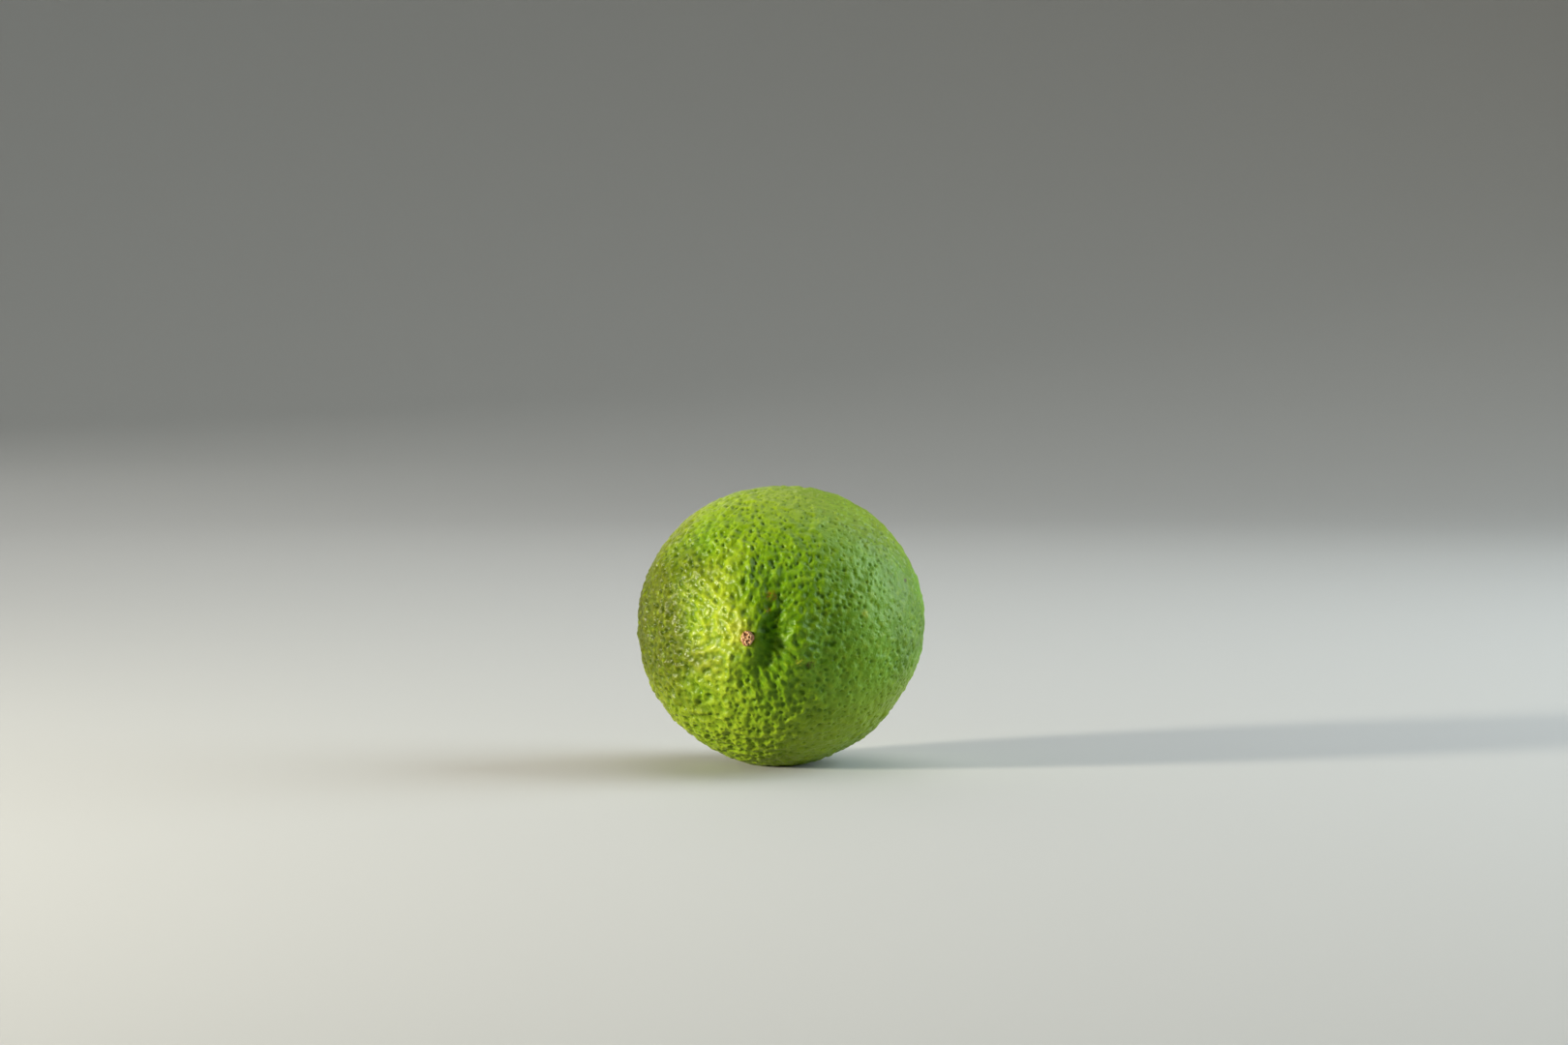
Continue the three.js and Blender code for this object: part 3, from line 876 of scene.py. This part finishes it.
def makePeelFinish():
    look = peelFinish
    material, tree, shader = newMaterial("lime peel")
    here = millimetres(tree, (-1300, 0))
    names = ("dimple", "ridge", "coarse", "fromStem", "right", "up", "litPatch", "crease", "aside")
    skin = {name: painted(tree, (-1300, 300 + 150 * row), name) for row, name in enumerate(names)}
    place = addNode(tree, "ShaderNodeCombineXYZ", (-1100, 900))
    feed(tree, place.inputs[0], skin["right"])
    feed(tree, place.inputs[1], skin["up"])

    # base tone: soft clouds, then the regions of painted light and shade, then small paler spots
    clouds = useGroup(tree, (-900, 200), patches, Vector=here, **look["clouds"])
    colour = mixColours(tree, (-700, 200), clouds, look["green"], look["deepGreen"])
    for index, region in enumerate(regions):
        y, lead = 600 + 200 * index, skin[region["lead"]]
        mask = fade(tree, (-900, y), lead, *region["between"], *region["strength"])
        if region["lead"] == "litPatch":
            litPatch = mask
        if "ends" in region:
            ending = fade(tree, (-900, y + 100), lead, *region["ends"])
            mask = calculate(tree, (-700, y), "MULTIPLY", mask, ending)
        colour = mixColours(tree, (-600 + 40 * index, 200), mask, colour, look[region["tone"]])
    small = useGroup(tree, (-900, 0), patches, Vector=here, **look["mottle"])
    small = calculate(tree, (-500, 0), "MULTIPLY", small, look["mottleStrength"])
    colour = mixColours(tree, (-300, 200), small, colour, look["ridgeGreen"])

    # painted shade between the ridges and along the crease, and darker in the dimples, partly their own
    # deeper green and partly painted shade
    valley = fade(tree, (-900, 450), skin["ridge"], *look["valley"])
    valley = calculate(tree, (-700, 450), "MULTIPLY", valley, skin["coarse"])
    dimple = fade(tree, (-900, 300), skin["dimple"], *look["dimple"])
    darker = ((valley, "shadeInValleys"), (dimple, "inDimples"), (skin["crease"], "shadowInCrease"))
    for index, (mask, tone) in enumerate(darker):
        colour = mixColours(tree, (-100 + 75 * index, 200), mask, colour, look[tone], "MULTIPLY")

    # paler towards the stem, with a few dull specks everywhere
    stem = fade(tree, (-900, 750), skin["fromStem"], *look["stem"])
    colour = mixColours(tree, (100, 200), stem, colour, look["stemGreen"])
    colour = addSpecks(tree, here, colour, look, "brown", -500)

    for index, mark in enumerate(marks):
        column = 300 + index * 90
        away = addNode(tree, "ShaderNodeVectorMath", (column - 100, 700), operation="DISTANCE")
        feed(tree, away.inputs[0], place.outputs[0])
        feed(tree, away.inputs[1], (mark["right"], mark["up"], 0.0))
        core = mark["reach"] * look["markCore"]
        reach = fade(tree, (column, 600), away.outputs["Value"], core, mark["reach"], mark["strength"], 0.0)
        crumbs = useGroup(tree, (column, 450), patches, Vector=here, **look["crumbs"])
        crumbs = fade(tree, (column, 350), crumbs, 0.0, 1.0, 1 - mark["broken"], 1.0)
        mask = calculate(tree, (column, 300), "MULTIPLY", reach, crumbs)
        colour = mixColours(tree, (column, 200), mask, colour, look[mark["colour"]])
    tree.links.new(colour, shader.inputs["Base Color"])

    uneven = useGroup(tree, (600, -300), patches, Vector=here, **look["uneven"])
    finishSurface(tree, shader, here, uneven, look)
    for name, value in look["subsurface"].items():
        shader.inputs["Subsurface " + name].default_value = value
    gloss = fade(tree, (700, -100), litPatch, 0.0, 1.0, look["shine"], look["litPatchShine"])
    dulled = fade(tree, (700, -200), skin["crease"], 0.0, 1.0, 1.0, look["creaseShine"])
    feed(tree, shader.inputs["Specular IOR Level"], calculate(tree, (900, -100), "MULTIPLY", gloss, dulled))
    return material


dryStyleFinish = {
    "pale": (0.62, 0.38, 0.19),
    "tan": (0.30, 0.125, 0.045),
    "bark": (0.15, 0.050, 0.018),
    # nearly black: painted shade in the cups
    "cupShadow": (0.018, 0.006, 0.003),
    "toTan": (0.15, 0.6), "toPale": (0.6, 1.0), "toCupShadow": (0.25, 0.95),
    "clouds": {"Size": 0.5, "Low": 0.4, "High": 0.7}, "cloudStrength": 0.35,
    "specks": {"Spacing": 0.4, "Size": 0.25, "Share": 0.3}, "speckStrength": 0.5,
    "roughness": (0.55, 0.85),
    "grain": {"Size": 0.16, "Roundness": 0.4}, "grainDepth": 0.05,
}


def makeDryStyleFinish():
    look = dryStyleFinish
    material, tree, shader = newMaterial("dry style")
    here = millimetres(tree, (-1300, 0))
    shade, cup = painted(tree, (-1300, 300), "shade"), painted(tree, (-1300, 450), "cup")
    tan = fade(tree, (-900, 300), shade, *look["toTan"])
    colour = mixColours(tree, (-600, 200), tan, look["bark"], look["tan"])
    pale = fade(tree, (-900, 150), shade, *look["toPale"])
    colour = mixColours(tree, (-400, 200), pale, colour, look["pale"])
    clouds = useGroup(tree, (-900, 0), patches, Vector=here, **look["clouds"])
    cloudy = calculate(tree, (-600, 0), "MULTIPLY", clouds, look["cloudStrength"])
    colour = mixColours(tree, (-200, 200), cloudy, colour, look["bark"])
    # painted shade in the cups
    cupShadow = fade(tree, (-900, 450), cup, *look["toCupShadow"])
    colour = mixColours(tree, (0, 200), cupShadow, colour, look["cupShadow"])
    colour = addSpecks(tree, here, colour, look, "bark", -600)
    tree.links.new(colour, shader.inputs["Base Color"])
    finishSurface(tree, shader, here, clouds, look)
    return material


calyxFinish = {
    "green": (0.210, 0.250, 0.060),
    "darkGreen": (0.110, 0.130, 0.035),
    "brown": (0.190, 0.125, 0.050),
    "cutWood": (0.420, 0.330, 0.160),
    "cutRing": (0.200, 0.130, 0.050),
    # painted value where it starts and is full, then the strength at both
    "toDark": (0.2, 0.8, 0.7, 0.0), "toBrown": (0.3, 1.0, 0.0, 0.85), "toRing": (0.6, 1.0),
    "clouds": {"Size": 1.3, "Low": 0.35, "High": 0.7},
    "specks": {"Spacing": 0.7, "Size": 0.22, "Share": 0.35}, "speckStrength": 0.7,
    "roughness": (0.55, 0.80),
    "grain": {"Size": 0.22, "Roundness": 0.4}, "grainDepth": 0.06,
}


def makeCalyxFinish():
    look = calyxFinish
    material, tree, shader = newMaterial("calyx")
    here = millimetres(tree, (-1300, 0))
    cutFace = painted(tree, (-1300, 300), "cutFace")
    edge, vein = painted(tree, (-1300, 450), "edge"), painted(tree, (-1300, 600), "vein")
    clouds = useGroup(tree, (-900, 0), patches, Vector=here, **look["clouds"])
    colour = mixColours(tree, (-600, 200), clouds, look["green"], look["brown"])
    dark = fade(tree, (-900, 600), vein, *look["toDark"])
    colour = mixColours(tree, (-400, 200), dark, colour, look["darkGreen"])
    worn = fade(tree, (-900, 450), edge, *look["toBrown"])
    colour = mixColours(tree, (-200, 200), worn, colour, look["brown"])
    ring = fade(tree, (-700, 750), vein, *look["toRing"])
    wood = mixColours(tree, (-200, 500), ring, look["cutWood"], look["cutRing"])
    colour = mixColours(tree, (0, 200), cutFace, colour, wood)
    colour = addSpecks(tree, here, colour, look, "darkGreen", -600)
    tree.links.new(colour, shader.inputs["Base Color"])
    finishSurface(tree, shader, here, clouds, look)
    return material


limePeel.data.materials.append(makePeelFinish())
dryStylePiece.data.materials.append(makeDryStyleFinish())
calyxPiece.data.materials.append(makeCalyxFinish())
print("finishes made")


stageSet = {
    "flatRadius": 0.9, "bendRadius": 1.1, "wallTop": 2.2,
    "segments": 96, "bends": 18,
    "colour": (0.46, 0.46, 0.45), "roughness": 0.7,
    "roomColour": (0.9, 0.95, 1.0), "roomStrength": 0.04,
}


def makeFloor():
    # a pale floor that bends up into a round wall, so that no edge shows from any side
    segments, bends = stageSet["segments"], stageSet["bends"]
    rings = [(0.0, 0.0)] + [(stageSet["flatRadius"] * share, 0.0) for share in (0.1, 0.3, 0.6, 1.0)]
    for step in range(1, bends + 1):
        angle = math.pi / 2 * step / bends
        out = stageSet["flatRadius"] + stageSet["bendRadius"] * math.sin(angle)
        rings.append((out, stageSet["bendRadius"] * (1 - math.cos(angle))))
    rings.append((rings[-1][0], stageSet["wallTop"]))
    points, faces = [(0.0, 0.0, 0.0)], []
    for radius, height in rings[1:]:
        for segment in range(segments):
            angle = 2 * math.pi * segment / segments
            points.append((radius * math.cos(angle), radius * math.sin(angle), height))
    for segment in range(segments):
        beside = (segment + 1) % segments
        faces.append((0, 1 + segment, 1 + beside))
        for ring in range(len(rings) - 2):
            start = 1 + ring * segments
            far = start + segments
            faces.append((start + segment, far + segment, far + beside, start + beside))
    floor = meshFrom("floor", np.array(points), faces)
    material, _, shader = newMaterial("pale floor")
    shader.inputs["Base Color"].default_value = (*stageSet["colour"], 1)
    shader.inputs["Roughness"].default_value = stageSet["roughness"]
    floor.data.materials.append(material)


lamps = [
    {"name": "warmKey", "azimuth": -56, "elevation": 12, "distance": 0.8, "size": 0.14,
     "watts": 12.5, "colour": (1.0, 0.93, 0.76)},
    {"name": "coolSide", "azimuth": 112, "elevation": 24, "distance": 0.95, "size": 1.0,
     "watts": 13.0, "colour": (0.80, 0.93, 1.0)},
    {"name": "softTop", "azimuth": 155, "elevation": 74, "distance": 1.0, "size": 1.0,
     "watts": 4.6, "colour": (1.0, 0.98, 0.92)},
    {"name": "softBack", "azimuth": 215, "elevation": 30, "distance": 1.0, "size": 0.9,
     "watts": 1.6, "colour": (1.0, 0.98, 0.94)},
]


def makeLights():
    middle = (cadLow + cadHigh) / 2
    for lamp in lamps:
        light = bpy.data.lights.new(lamp["name"], "AREA")
        light.shape = "DISK"
        light.size = lamp["size"]
        light.energy = lamp["watts"]
        light.color = lamp["colour"]
        holder = bpy.data.objects.new(lamp["name"], light)
        way = directionTo(lamp["azimuth"], lamp["elevation"])
        holder.location = middle + way * lamp["distance"]
        holder.rotation_mode = "QUATERNION"
        holder.rotation_quaternion = (-way).to_track_quat("-Z", "Y")
        bpy.context.scene.collection.objects.link(holder)
    world = bpy.data.worlds.new("soft room")
    world.use_nodes = True
    room = world.node_tree.nodes["Background"]
    room.inputs[0].default_value = (*stageSet["roomColour"], 1)
    room.inputs[1].default_value = stageSet["roomStrength"]
    bpy.context.scene.world = world
    bpy.context.scene.view_settings.view_transform = "Standard"


makeFloor()
makeLights()
print("floor and lights made")
